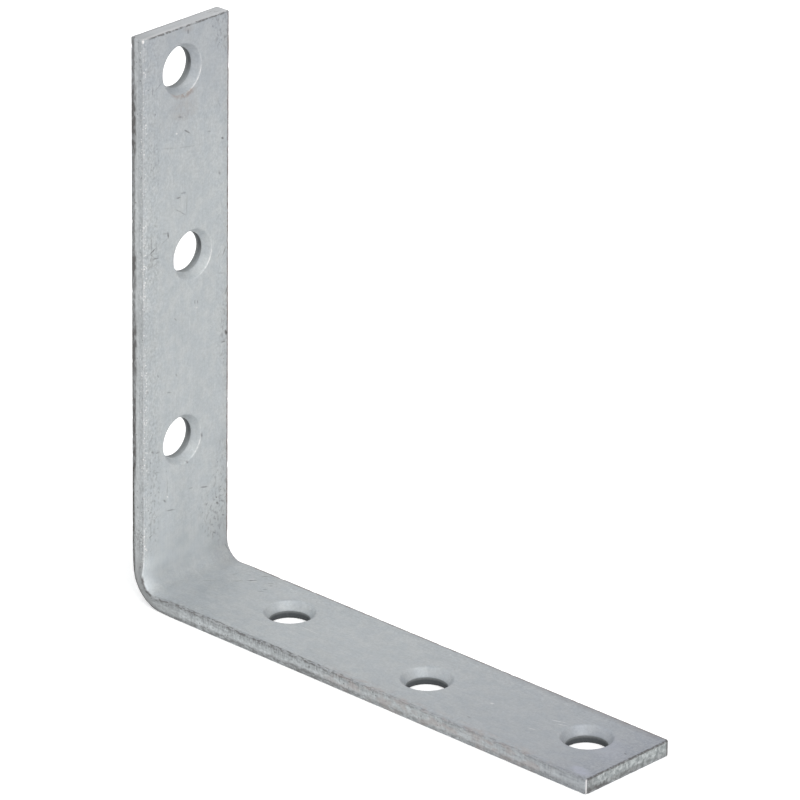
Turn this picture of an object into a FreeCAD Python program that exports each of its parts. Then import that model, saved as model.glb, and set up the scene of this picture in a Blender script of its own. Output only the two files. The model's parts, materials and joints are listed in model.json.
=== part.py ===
import FreeCAD, Part
import math
import os

# Inside corner brace: a flat steel bar, pierced with six countersunk screw holes that step
# from side to side, folded once to a right angle across its width, and zinc coated all over.
# Millimetres, +Z up. X runs along the flat leg, Y across the bar, Z up the upright leg.
# The screws go in from inside the corner. The origin is on the resting face of the flat leg,
# midway along that leg and midway across the bar.

# Bar
bar_width = 30.0
bar_thickness = 4.3
edge_radius = 0.4

# Corners of the cut ends, as seen on the broad faces
flat_end_corner_radius = 1.0
upright_end_corner_radius = 0.5

# Legs, each from the outer face of the other leg to its own end
flat_leg_length = 153.1
upright_leg_length = 151.7

# Bend: on its inside the metal swells out past the bar's sides, on its outside it draws in,
# and both die out a short way along each leg
bend_inner_radius = 4.8
bend_swell = 0.8
bend_draw = 0.65
bend_runout = 5.5

# Holes, each a plain bore with a slight break at the back, that opens into a countersink
# with a rounded lip on the inner face
hole_diameter = 10.5
hole_back_chamfer = 0.2
countersink_flare = 1.5
countersink_depth = 2.25
countersink_lip_radius = 0.35

# Hole stations along each leg, and the steps to the left (+Y) and right of the row's middle
flat_corner_margin = 38.4
flat_end_margin = 15.3
flat_middle_shift = 0.5
upright_corner_margin = 41.5
upright_end_margin = 11.2
upright_middle_shift = -0.4
hole_stagger = 1.85
hole_row_shift = 0.4
left_side = 1
right_side = -1

# How far cutting shapes reach past the metal, and how many sections shape the bend's sides
overshoot = 1.0
bend_section_count = 25

half_width = bar_width / 2
bend_outer_radius = bend_inner_radius + bar_thickness
bend_mid_radius = bend_inner_radius + bar_thickness / 2
half_bend_length = bend_mid_radius * math.pi / 4
edge_break = min(edge_radius, bar_thickness * 0.45)


def point(x, z):
    """A point of the side view, measured from the sharp outer corner where the legs meet."""
    return FreeCAD.Vector(x, 0, z)


def line(start, end):
    return Part.LineSegment(start, end).toShape()


def arc(start, middle, end):
    return Part.Arc(start, middle, end).toShape()


def folded_strip():
    """The side view, two legs and the bend between them, drawn out wider than the bar."""
    centre = point(bend_outer_radius, bend_outer_radius)
    outward = point(-1, -1).normalize()
    side_view = Part.Wire([
        line(point(flat_leg_length, 0), point(bend_outer_radius, 0)),
        arc(point(bend_outer_radius, 0),
            centre + outward * bend_outer_radius,
            point(0, bend_outer_radius)),
        line(point(0, bend_outer_radius), point(0, upright_leg_length)),
        line(point(0, upright_leg_length), point(bar_thickness, upright_leg_length)),
        line(point(bar_thickness, upright_leg_length), point(bar_thickness, bend_outer_radius)),
        arc(point(bar_thickness, bend_outer_radius),
            centre + outward * bend_inner_radius,
            point(bend_outer_radius, bar_thickness)),
        line(point(bend_outer_radius, bar_thickness), point(flat_leg_length, bar_thickness)),
        line(point(flat_leg_length, bar_thickness), point(flat_leg_length, 0)),
    ])
    strip_width = FreeCAD.Vector(0, bar_width + 2 * (bend_swell + overshoot), 0)
    face = Part.Face(side_view)
    face.translate(strip_width * -0.5)
    return face.extrude(strip_width)


def bend_section(travel):
    """Outline of the bar's sides at a distance along its mid line from the middle of the bend.

    It reaches past the inner and outer faces, which the strip gives.
    """
    angle = min(max(travel, -half_bend_length), half_bend_length) / bend_mid_radius + math.pi / 4
    outward = FreeCAD.Vector(-math.sin(angle), 0, -math.cos(angle))
    onward = FreeCAD.Vector(-math.cos(angle), 0, math.sin(angle))
    past_bend = math.copysign(max(abs(travel) - half_bend_length, 0), travel)
    centre = point(bend_outer_radius, bend_outer_radius) + onward * past_bend
    strain = (1 + math.cos(math.pi * travel / (half_bend_length + bend_runout))) / 2
    slope = (bend_swell + bend_draw) * strain / bar_thickness
    inner = centre + outward * (bend_inner_radius - overshoot)
    outer = centre + outward * (bend_outer_radius + overshoot)
    inner_half = FreeCAD.Vector(0, half_width + bend_swell * strain + slope * overshoot, 0)
    outer_half = FreeCAD.Vector(0, half_width - bend_draw * strain - slope * overshoot, 0)
    return Part.makePolygon([inner - inner_half, inner + inner_half,
                             outer + outer_half, outer - outer_half, inner - inner_half])


def bar_sides():
    """Everything between the bar's two long sides, swollen and drawn in round the bend."""
    reach = half_bend_length + bend_runout
    step = 2 * reach / (bend_section_count - 1)
    sections = [bend_section(index * step - reach) for index in range(bend_section_count)]
    start = bend_outer_radius + bend_runout
    depth = bar_thickness + 2 * overshoot
    along_flat = Part.makeBox(
        flat_leg_length - start + overshoot, bar_width, depth,
        FreeCAD.Vector(start, -half_width, -overshoot))
    along_upright = Part.makeBox(
        depth, bar_width, upright_leg_length - start + overshoot,
        FreeCAD.Vector(-overshoot, -half_width, start))
    return Part.makeLoft(sections, True).fuse([along_flat, along_upright])


def at_flat_end(shape):
    """Whether an edge or a face lies wholly at the end of the flat leg."""
    return shape.BoundBox.XMin > flat_leg_length - bar_thickness


def at_upright_end(shape):
    """Whether an edge or a face lies wholly at the end of the upright leg."""
    return shape.BoundBox.ZMin > upright_leg_length - bar_thickness


def round_end_corners(bar, at_end, radius):
    """Round the two corners of one cut end, as seen on the broad faces."""
    across_wall = [edge for edge in bar.Edges
                   if at_end(edge) and edge.BoundBox.YLength < bar_thickness / 2]
    return bar.makeFillet(radius, across_wall)


def round_rims(bar):
    """Round every edge where a broad face, inner or outer, meets a side or an end."""
    broad_faces = [face for face in bar.Faces
                   if face.BoundBox.YLength > half_width
                   and not at_flat_end(face) and not at_upright_end(face)]
    found = {}
    for face in broad_faces:
        for edge in face.Edges:
            found.setdefault(edge.hashCode(), []).append(edge)
    rims = [edges[0] for edges in found.values() if len(edges) == 1]
    return bar.makeFillet(edge_break, rims)


def hole_cutter():
    """Cutter for one hole, its axis on Z, with the bar's outer face at Z = 0."""
    bore = hole_diameter / 2
    cone_angle = math.atan2(countersink_flare, countersink_depth)
    setback = countersink_lip_radius * math.tan((math.pi / 2 - cone_angle) / 2)
    lip_reach = bore + countersink_flare + setback
    back_reach = bore + hole_back_chamfer
    lip_centre = point(lip_reach, bar_thickness - countersink_lip_radius)
    to_cone = point(-math.cos(cone_angle), math.sin(cone_angle))
    to_crown = (to_cone + point(0, 1)).normalize()
    lip_start = lip_centre + to_cone * countersink_lip_radius
    shoulder = point(bore, bar_thickness - countersink_depth)
    profile = Part.Wire([
        line(point(0, -overshoot), point(back_reach, -overshoot)),
        line(point(back_reach, -overshoot), point(back_reach, 0)),
        line(point(back_reach, 0), point(bore, hole_back_chamfer)),
        line(point(bore, hole_back_chamfer), shoulder),
        line(shoulder, lip_start),
        arc(lip_start,
            lip_centre + to_crown * countersink_lip_radius,
            point(lip_reach, bar_thickness)),
        line(point(lip_reach, bar_thickness), point(lip_reach, bar_thickness + overshoot)),
        line(point(lip_reach, bar_thickness + overshoot), point(0, bar_thickness + overshoot)),
        line(point(0, bar_thickness + overshoot), point(0, -overshoot)),
    ])
    return Part.Face(profile).revolve(FreeCAD.Vector(), FreeCAD.Vector(0, 0, 1), 360)


def leg_hole_cutters(leg_length, corner_margin, end_margin, middle_shift, first_side):
    """Cutters for a leg that lies along +X, stepping to alternate sides from the bend on."""
    last = leg_length - end_margin
    middle = (corner_margin + last) / 2 + middle_shift
    cutters = []
    sides = [first_side, -first_side, first_side]
    for station, side in zip([corner_margin, middle, last], sides):
        cutter = hole_cutter()
        cutter.translate(FreeCAD.Vector(station, hole_row_shift + side * hole_stagger, 0))
        cutters.append(cutter)
    return cutters


def stand_up(shape):
    """Swap X and Z, which turns what is made for the flat leg into the upright leg's."""
    return shape.mirror(FreeCAD.Vector(), FreeCAD.Vector(1, 0, -1))


def corner_brace():
    """The whole brace, one solid."""
    bar = folded_strip().common(bar_sides()).removeSplitter().Solids[0]
    bar = round_end_corners(bar, at_flat_end, flat_end_corner_radius)
    bar = round_end_corners(bar, at_upright_end, upright_end_corner_radius)
    bar = round_rims(bar)
    flat_cutters = leg_hole_cutters(
        flat_leg_length, flat_corner_margin, flat_end_margin, flat_middle_shift, left_side)
    upright_cutters = leg_hole_cutters(
        upright_leg_length, upright_corner_margin, upright_end_margin, upright_middle_shift,
        right_side)
    brace = bar.cut(flat_cutters + [stand_up(cutter) for cutter in upright_cutters])
    brace.translate(point(-flat_leg_length / 2, 0))
    return brace


os.makedirs("parts", exist_ok=True)
brace = corner_brace()
brace.exportStep("parts/corner_brace.step")
print("solids", len(brace.Solids), "valid", brace.isValid(), "volume", round(brace.Volume, 1))
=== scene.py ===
import json
import math

import bmesh
import bpy
import numpy as np
from mathutils import Matrix, Vector, noise
from mathutils.geometry import delaunay_2d_cdt


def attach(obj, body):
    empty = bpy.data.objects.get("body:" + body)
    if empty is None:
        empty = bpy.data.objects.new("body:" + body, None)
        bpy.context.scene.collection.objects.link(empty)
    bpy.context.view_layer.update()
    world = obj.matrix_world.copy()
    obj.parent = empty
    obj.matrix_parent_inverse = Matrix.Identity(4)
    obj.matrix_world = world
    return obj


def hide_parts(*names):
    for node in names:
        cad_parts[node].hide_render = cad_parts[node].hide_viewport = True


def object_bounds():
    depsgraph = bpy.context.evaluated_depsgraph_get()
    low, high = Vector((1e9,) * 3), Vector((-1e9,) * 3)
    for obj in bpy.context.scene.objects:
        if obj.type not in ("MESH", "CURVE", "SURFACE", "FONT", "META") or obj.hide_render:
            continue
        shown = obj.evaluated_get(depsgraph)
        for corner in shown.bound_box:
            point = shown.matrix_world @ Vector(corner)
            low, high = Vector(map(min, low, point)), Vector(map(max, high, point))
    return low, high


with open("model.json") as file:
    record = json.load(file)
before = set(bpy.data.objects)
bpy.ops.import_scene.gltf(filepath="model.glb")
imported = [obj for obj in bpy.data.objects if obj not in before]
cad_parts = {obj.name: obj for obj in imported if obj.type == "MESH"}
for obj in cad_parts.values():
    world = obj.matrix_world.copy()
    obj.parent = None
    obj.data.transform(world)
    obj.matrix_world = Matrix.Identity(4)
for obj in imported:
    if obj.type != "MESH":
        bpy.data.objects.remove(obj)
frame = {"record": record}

# The brace's body is made as a straight bar and then folded. A point of the straight bar is
# its travel along the bar from the middle of the bend (up the upright leg is positive), its
# offset across the bar, and its height above the outer face. Lengths are in metres here, and in
# millimetres in the tables of marks and in the coating.

MM = 0.001
cad_low, cad_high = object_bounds()

# Sizes of the brace, as in the part's source, but with a softer lip round the countersinks
FLAT_LENGTH = cad_high.x - cad_low.x
UPRIGHT_LENGTH = cad_high.z - cad_low.z
HALF_WIDTH = 15.0 * MM
THICKNESS = 4.3 * MM
FLAT_CORNER_RADIUS = 1.0 * MM
UPRIGHT_CORNER_RADIUS = 0.5 * MM
RIM_RADIUS = 0.4 * MM
INNER_RADIUS = 4.8 * MM
BEND_SWELL = 0.8 * MM
BEND_DRAW = 0.65 * MM
BEND_RUNOUT = 5.5 * MM
SINK_FLARE = 1.38 * MM
SINK_DEPTH = 2.25 * MM
SINK_LIP_RADIUS = 0.60 * MM
BACK_CHAMFER = 0.2 * MM

OUTER_RADIUS = INNER_RADIUS + THICKNESS
MIDDLE_RADIUS = INNER_RADIUS + THICKNESS / 2
HALF_BEND = MIDDLE_RADIUS * math.pi / 4
FLAT_END = -(FLAT_LENGTH - OUTER_RADIUS + HALF_BEND)
UPRIGHT_END = UPRIGHT_LENGTH - OUTER_RADIUS + HALF_BEND

# Round the bend the squeezed metal rolls over towards the sides: the inner rim gets rounder,
# and the inner face sinks over a band beside it
BEND_RIM_GROWTH = 0.6 * MM
BEND_ROLL_DEPTH = 0.55 * MM
BEND_ROLL_WIDTH = 6.0 * MM

# Depth of the relief pressed into the coated surface, and the size of its forms
WAVE_DEPTH = 0.04 * MM
WAVE_SIZE = 15 * MM
DIMPLE_DEPTH = 0.02 * MM
DIMPLE_SIZE = 4.5 * MM
CUT_DEPTH = 0.07 * MM
CUT_SIZE = 1.4 * MM
NICK_DEPTH = 0.28 * MM
NICK_SIZE = 1.7 * MM
NICK_REACH = 0.55 * MM
NICK_LEVEL = 0.22
TEAR_DEPTH = 0.12 * MM
TEAR_SIZE = 0.9 * MM
GROOVE_DEPTH = 0.06 * MM
WALL_BAND = 0.3 * MM
SKIN = 0.01 * MM

# Scratches, dents and spots on the inner faces, and stains that spread over them. Each runs from
# one travel and offset to another, with a width, all in millimetres, and a strength.
DARK_MARKS = [
    (146.4, 0.6, 145.9, 0.6, 0.7, 0.6),
    (118.1, -8.9, 116.7, -3.0, 0.35, 0.20),
    (116.7, -3.0, 115.6, 3.4, 0.35, 0.22),
    (143.7, -1.8, 141.9, 2.9, 0.35, 0.3),
    (139.6, -14.1, 139.2, -12.4, 0.3, 0.3),
    (134.6, -11.6, 132.9, -11.6, 0.35, 0.55),
    (135.5, -8.3, 133.6, -10.9, 0.3, 0.38),
    (124.8, -2.7, 124.5, -1.7, 0.6, 0.4),
    (126.5, 10.3, 123.0, 12.1, 0.3, 0.2),
    (120.8, -0.6, 119.5, 1.2, 0.45, 0.65),
    (118.2, 7.5, 117.9, 8.3, 0.4, 0.45),
    (115.1, 12.4, 114.8, 12.9, 0.5, 0.85),
    (113.9, -11.3, 113.5, -11.3, 0.6, 0.35),
    (106.3, 11.5, 105.7, 11.7, 0.7, 0.5),
    (103.5, -3.3, 103.4, -2.1, 0.45, 0.5),
    (104.3, -1.8, 104.1, -0.3, 0.45, 0.45),
    (100.8, -4.0, 98.1, -0.1, 0.3, 0.42),
    (104.0, 0.3, 98.1, 0.0, 0.3, 0.32),
    (95.3, -6.4, 93.8, -6.3, 0.5, 0.75),
    (95.4, -7.9, 95.1, -6.6, 0.4, 0.3),
    (93.8, -6.4, 92.8, -8.6, 0.25, 0.28),
    (96.0, -12.3, 91.5, -12.2, 0.36, 0.6),
    (91.2, -12.9, 92.4, -10.6, 0.45, 0.75),
    (91.3, -12.7, 89.9, -11.0, 0.35, 0.4),
    (89.8, -11.6, 89.5, -9.8, 0.45, 0.7),
    (90.0, -12.4, 89.2, -12.4, 0.45, 0.55),
    (85.9, 14.0, 83.4, 12.7, 0.35, 0.6),
    (85.2, 12.3, 83.0, 10.7, 0.25, 0.3),
    (83.1, -2.3, 82.4, -2.3, 0.7, 0.45),
    (79.3, 11.1, 78.6, 13.6, 0.3, 0.3),
    (74.5, 14.3, 72.9, 13.8, 0.5, 0.6),
    (74.3, 3.0, 73.7, 3.0, 0.5, 0.5),
    (74.0, 4.0, 73.4, 4.0, 0.45, 0.4),
    (71.6, -4.2, 70.9, -3.4, 0.35, 0.4),
    (62.8, 13.9, 62.1, 14.2, 1.0, 0.9),
    (60.3, 12.3, 60.1, 13.6, 0.5, 0.6),
    (58.1, -10.1, 57.6, -9.8, 0.5, 0.45),
    (56.3, -3.7, 55.9, -3.4, 0.6, 0.4),
    (54.8, -13.7, 54.2, -13.4, 0.6, 0.5),
    (52.4, -6.9, 52.0, -5.3, 0.35, 0.45),
    (37.4, 5.5, 36.8, 5.5, 0.8, 0.7),
    (37.9, -12.2, 37.5, -11.6, 0.6, 0.6),
    (37.1, -10.6, 37.1, -9.5, 0.4, 0.5),
    (33.6, 12.0, 32.6, 12.0, 0.5, 0.35),
    (33.4, -5.8, 30.7, -0.9, 0.4, 0.25),
    (31.5, 0.2, 31.1, 0.6, 0.6, 0.7),
    (32.3, -12.2, 31.4, -9.1, 0.3, 0.3),
    (29.0, -6.8, 23.8, -6.8, 0.25, 0.4),
    (26.5, -9.9, 26.0, -9.6, 0.5, 0.4),
    (24.5, -11.3, 24.0, -11.1, 0.6, 0.4),
    (23.4, -8.0, 22.8, -7.4, 0.6, 0.55),
    (23.9, 0.9, 23.6, 2.2, 0.3, 0.4),
    (22.8, 5.1, 22.2, 7.6, 0.4, 0.65),
    (20.2, -12.4, 15.4, -12.5, 0.35, 0.35),
    (20.2, -7.1, 19.7, -4.0, 0.35, 0.45),
    (18.5, 11.8, 18.1, 12.5, 0.5, 0.5),
    (16.7, 10.9, 16.3, 11.3, 0.7, 0.7),
    (16.9, 12.5, 16.4, 13.1, 0.6, 0.6),
    (14.7, -13.1, 15.2, -12.2, 0.4, 0.6),
    (14.4, 10.2, 13.7, 10.7, 0.6, 0.55),
    (12.3, 11.3, 11.6, 11.3, 0.5, 0.5),
    (12.8, 12.9, 12.5, 13.4, 0.5, 0.6),
    (9.0, 9.6, 8.4, 10.4, 0.5, 0.6),
    (3.9, 13.4, 1.0, 14.0, 0.4, 0.5),
    (-6.2, -0.5, -8.9, 2.2, 0.4, 0.25),
    (-9.4, 7.8, -9.8, 8.9, 0.45, 0.35),
    (-11.9, 4.9, -14.0, 7.1, 0.5, 0.4),
    (-14.5, 7.8, -16.2, 9.4, 0.5, 0.7),
    (-15.3, 11.7, -16.4, 13.3, 0.45, 0.5),
    (-19.4, 10.3, -20.2, 11.1, 0.5, 0.45),
    (-20.8, 9.6, -21.1, 9.9, 0.5, 0.5),
    (-20.7, 5.2, -22.0, 6.1, 0.45, 0.4),
    (-21.1, 6.9, -21.5, 7.4, 0.6, 0.5),
    (-30.3, -0.7, -31.0, 0.0, 0.6, 0.6),
    (-105.8, -9.8, -107.6, -10.0, 0.4, 0.25),
    (-146.6, 2.0, -147.0, 1.8, 0.6, 0.5),
]
PALE_MARKS = [
    (120.6, -3.5, 120.5, -3.2, 0.5, 0.5),
    (72.3, 3.5, 72.2, 3.9, 0.6, 0.3),
    (24.1, -6.8, 23.8, -6.6, 0.35, 0.8),
    (-14.1, 8.3, -15.4, 9.9, 0.3, 0.35),
    (-15.6, 7.9, -16.6, 8.9, 0.3, 0.3),
    (-42.3, -2.0, -48.7, -2.1, 0.3, 0.2),
    (-80.0, 12.2, -80.1, 12.4, 0.5, 0.4),
    (-105.5, -0.5, -105.8, -0.1, 0.7, 0.35),
    (-120.7, -4.2, -123.0, -3.7, 0.3, 0.35),
    (-122.1, 3.0, -125.6, 4.2, 0.35, 0.45),
    (-124.6, 2.4, -127.1, 3.3, 0.3, 0.4),
]
RUST_STAINS = [(131.9, -4.8, 130.0, -2.2, 2.2, 0.45), (130.0, -2.2, 130.6, 2.0, 2.4, 0.6),
               (126.5, -2.5, 126.0, 1.0, 6.5, 0.16), (147.2, -0.6, 146.9, 1.6, 2.0, 0.18)]
VIOLET_STAINS = [(-147.0, -12.8, -143.5, -12.0, 3.5, 0.65), (-145.0, -1.0, -136.5, 4.5, 9.0, 0.25)]
SPECK_CROWDS = [(32, 13, 6, 11, 7, 0.75), (18, 8, 10, 9, 8, 0.8), (44, -12, 12, -12, 7, 0.65),
                (99, -12, 84, -12, 6, 0.6), (120, -12, 112, -11, 6, 0.5), (74, 13.5, 50, 13.5, 4, 0.7),
                (147, 11, 140, 13, 6, 0.9)]

# Turns round a hole, in degrees, from up the bar towards its left: where the upright's lips are
# rubbed bright and take a painted highlight, and where painted light and painted shade go on each leg's
# countersinks
LIP_HIGHLIGHT_TURN = 112
LIP_HIGHLIGHT_SPREAD = 40
UPRIGHT_LIGHT_TURN = 40
FLAT_LIGHT_TURN = 118
FLAT_SHADE_TURN = -45

# Fineness of the mesh, and the gaps that its points keep
RIM_STEP = 0.45 * MM
INNER_FACE_STEP = 0.46 * MM
OUTER_FACE_STEP = 0.90 * MM
BORDER_GAP_STEPS = 0.6
MERGE_DISTANCE = 0.002 * MM
HOLE_SLACK = 0.999
MARK_STEP_ALONG = 0.26
MARK_STEP_ACROSS = 0.14
MARK_SPREAD = 0.6
MARK_MARGIN = 0.15
MARK_EDGE_GAP = 0.25 * MM
MARK_HOLE_GAP = 0.2 * MM
CORNER_STEPS = 6
RIM_STEPS = 4
WALL_STEPS = 7
HOLE_STEPS = 96
LIP_STEPS = 4
CONE_STEPS = 6
BORE_STEPS = 4


def bend_strain(travel):
    """How hard the bend works the metal at a travel: 1 in its middle, 0 past its run-out."""
    reach = HALF_BEND + BEND_RUNOUT
    wave = (1 + np.cos(np.pi * travel / reach)) / 2
    return np.where(np.abs(travel) < reach, wave, 0.0)


def fold(points):
    """Places of the straight bar's points on the folded bar."""
    travel, across, height = points.T
    strain = bend_strain(travel)
    inward = height / THICKNESS
    near_side = np.clip(1 - (HALF_WIDTH - np.abs(across)) / BEND_ROLL_WIDTH, 0, 1)
    height = height - BEND_ROLL_DEPTH * strain * inward * near_side ** 2
    spread = 1 + strain * (BEND_SWELL * inward - BEND_DRAW * (1 - inward)) / HALF_WIDTH
    turned = np.clip(travel, -HALF_BEND, HALF_BEND)
    angle = turned / MIDDLE_RADIUS + math.pi / 4
    past = travel - turned
    radius = OUTER_RADIUS - height
    x = OUTER_RADIUS - past * np.cos(angle) - radius * np.sin(angle) + cad_low.x
    z = OUTER_RADIUS + past * np.sin(angle) - radius * np.cos(angle) + cad_low.z
    return np.column_stack([x, across * spread, z])


def stretch(start, end, step):
    """Evenly spaced numbers from start up to but not including end, about a step apart."""
    count = max(1, round(abs(end - start) / step))
    return np.linspace(start, end, count, endpoint=False)


def bar_outline():
    """Points round the straight bar seen from above, and the outward direction at each."""
    corners = []
    for upright, left in [(1, 1), (0, 1), (0, 0), (1, 0)]:
        radius = UPRIGHT_CORNER_RADIUS if upright else FLAT_CORNER_RADIUS
        along = UPRIGHT_END - radius if upright else FLAT_END + radius
        across = HALF_WIDTH - radius if left else radius - HALF_WIDTH
        corners.append((np.array([along, across]), radius))
    places, outward = [], []
    for quarter, (centre, radius) in enumerate(corners):
        turn = (quarter + np.linspace(0, 1, CORNER_STEPS, endpoint=False)) * math.pi / 2
        arc = np.column_stack([np.cos(turn), np.sin(turn)])
        places.append(centre + arc * radius)
        outward.append(arc)
        way = np.array([math.cos((quarter + 1) * math.pi / 2), math.sin((quarter + 1) * math.pi / 2)])
        next_centre, next_radius = corners[(quarter + 1) % 4]
        start = centre + way * radius
        end = next_centre + way * next_radius
        length = np.linalg.norm(end - start)
        share = stretch(0, length, RIM_STEP) / length
        places.append(start + share[:, None] * (end - start))
        outward.append(np.tile(way, (len(share), 1)))
    return np.vstack(places), np.vstack(outward)


def rim_radii(places):
    """Radius of the inner rim at each point of the outline: larger round the bend."""
    return RIM_RADIUS + BEND_RIM_GROWTH * bend_strain(places[:, 0])


def rim_rows(places, outward):
    """The bar's whole edge: inner rim, side wall and outer rim, one row of points each step."""
    inner = rim_radii(places)
    outer = np.full(len(places), RIM_RADIUS)
    rows = []
    for turn in np.linspace(0, math.pi / 2, RIM_STEPS + 1):
        inset = inner * (1 - math.sin(turn))
        rows.append((inset, THICKNESS - inner * (1 - math.cos(turn))))
    for share in np.linspace(0, 1, WALL_STEPS + 1)[1:-1]:
        rows.append((np.zeros(len(places)), (THICKNESS - inner) * (1 - share) + outer * share))
    for turn in np.linspace(math.pi / 2, 0, RIM_STEPS + 1):
        inset = outer * (1 - math.sin(turn))
        rows.append((inset, outer * (1 - math.cos(turn))))
    return [np.column_stack([places - outward * inset[:, None], height]) for inset, height in rows]


def hole_profile(bore):
    """Radius and height of each ring of a hole's wall, from the inner face to the outer."""
    cone_angle = math.atan2(SINK_FLARE, SINK_DEPTH)
    setback = SINK_LIP_RADIUS * math.tan((math.pi / 2 - cone_angle) / 2)
    mouth = bore + SINK_FLARE + setback
    rings = []
    for turn in np.linspace(0, math.pi / 2 - cone_angle, LIP_STEPS + 1):
        rings.append(
            (mouth - SINK_LIP_RADIUS * math.sin(turn), THICKNESS - SINK_LIP_RADIUS * (1 - math.cos(turn))))
    lip_radius, lip_height = rings[-1]
    shoulder = THICKNESS - SINK_DEPTH
    for share in np.linspace(0, 1, CONE_STEPS + 1)[1:]:
        rings.append(
            (lip_radius + (bore - lip_radius) * share, lip_height + (shoulder - lip_height) * share))
    for share in [0.04, *np.linspace(0, 1, BORE_STEPS + 1)[1:]]:
        rings.append((bore, shoulder + (BACK_CHAMFER - shoulder) * share))
    rings.append((bore + BACK_CHAMFER, 0.0))
    return rings


def read_holes():
    """Travel, offset and bore of each screw hole, from the frame's own mounts."""
    holes = []
    for mount in frame["record"]["mounts"]:
        if mount["kind"] != "bore":
            continue
        x, y, z = mount["pos_m"]
        on_flat_leg = abs(mount["axis"][2]) > 0.5
        if on_flat_leg:
            travel = -(x - cad_low.x - OUTER_RADIUS + HALF_BEND)
        else:
            travel = z - cad_low.z - OUTER_RADIUS + HALF_BEND
        holes.append((travel, y, mount["dims"]["r_mm"] * MM))
    return holes


def from_hole(places, hole):
    """How far each place is from a hole's middle."""
    return np.hypot(places[:, 0] - hole[0], places[:, 1] - hole[1])


def circle(hole, radius):
    travel, across, _ = hole
    turn = np.linspace(0, 2 * math.pi, HOLE_STEPS, endpoint=False)
    return np.column_stack([travel + radius * np.cos(turn), across + radius * np.sin(turn)])


def face_lattice(step, edge_gap, hole_radii, holes):
    """Points of a triangular lattice over a broad face, clear of its rim and its holes."""
    points = []
    rows = stretch(FLAT_END, UPRIGHT_END, step * math.sqrt(3) / 2)
    for index, travel in enumerate(rows):
        across = np.arange(-HALF_WIDTH, HALF_WIDTH, step) + (index % 2) * step / 2
        points.append(np.column_stack([np.full(len(across), travel), across]))
    points = np.vstack(points)
    gap = RIM_RADIUS + edge_gap * bend_strain(points[:, 0]) + BORDER_GAP_STEPS * step
    clear = ((np.abs(points[:, 1]) < HALF_WIDTH - gap)
             & (points[:, 0] > FLAT_END + gap) & (points[:, 0] < UPRIGHT_END - gap))
    for hole, radius in zip(holes, hole_radii):
        clear &= from_hole(points, hole) > radius + BORDER_GAP_STEPS * step
    return points[clear]


def mark_axes(mark):
    """A mark's middle and length, and its directions onward and aside."""
    start, end = np.array(mark[0:2]), np.array(mark[2:4])
    length = np.linalg.norm(end - start)
    onward = (end - start) / length
    return (start + end) / 2, length, onward, np.array([-onward[1], onward[0]])


def mark_reach(mark, length):
    """How far a mark's fine points reach from its middle, along it and across it."""
    width = mark[4]
    return (length + width) * MARK_SPREAD + MARK_MARGIN, width * MARK_SPREAD + MARK_MARGIN


def in_mark(places, mark):
    """How far along and beside a mark's middle each place is, in millimetres."""
    middle, _, onward, aside = mark_axes(mark)
    from_middle = places[:, :2] / MM - middle
    return from_middle @ onward, from_middle @ aside


def mark_lattice(holes):
    """Fine points over every mark, clear of the rim and the holes, so that it shows as a groove."""
    fine = []
    for mark in DARK_MARKS + PALE_MARKS:
        middle, length, onward, aside = mark_axes(mark)
        reach_along, reach_across = mark_reach(mark, length)
        along = np.linspace(-reach_along, reach_along, 2 + int(2 * reach_along / MARK_STEP_ALONG))
        beside = np.linspace(-reach_across, reach_across, 2 + int(2 * reach_across / MARK_STEP_ACROSS))
        along, beside = [values.reshape(-1, 1) for values in np.meshgrid(along, beside)]
        fine.append((middle + along * onward + beside * aside) * MM)
    fine = np.vstack(fine)
    clear = np.abs(fine[:, 1]) < HALF_WIDTH - RIM_RADIUS - MARK_EDGE_GAP
    clear &= (fine[:, 0] > FLAT_END + MM) & (fine[:, 0] < UPRIGHT_END - MM)
    for hole in holes:
        mouth = hole_profile(hole[2])[0][0]
        clear &= from_hole(fine, hole) > mouth + MARK_HOLE_GAP
    return fine[clear]


def thinned(coarse):
    """The coarse points that no mark's fine points replace."""
    kept = np.full(len(coarse), True)
    for mark in DARK_MARKS + PALE_MARKS:
        along, beside = in_mark(coarse, mark)
        reach_along, reach_across = mark_reach(mark, mark_axes(mark)[1])
        kept &= ((np.abs(along) > reach_along + MARK_MARGIN)
                 | (np.abs(beside) > reach_across + MARK_MARGIN))
    return coarse[kept]


def broad_face(ring, height, lattice, edge_gap, hole_radii, holes):
    """One broad face of the bar, triangulated between its rim and its holes."""
    loops = [ring] + [circle(hole, radius) for hole, radius in zip(holes, hole_radii)]
    edges, count = [], 0
    for loop in loops:
        edges += [(count + i, count + (i + 1) % len(loop)) for i in range(len(loop))]
        count += len(loop)
    flat = np.vstack(loops + lattice)
    result = delaunay_2d_cdt([Vector(p) for p in flat], edges, [], 0, 1e-9, False)
    corners = np.array(result[0])
    triangles = np.array(result[2])
    middle = corners[triangles].mean(axis=1)
    kept = HALF_WIDTH - np.abs(middle[:, 1]) > RIM_RADIUS + edge_gap * bend_strain(middle[:, 0])
    for hole, radius in zip(holes, hole_radii):
        kept &= from_hole(middle, hole) > radius * HOLE_SLACK
    points = np.column_stack([corners, np.full(len(corners), height)])
    return points, triangles[kept]


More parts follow.
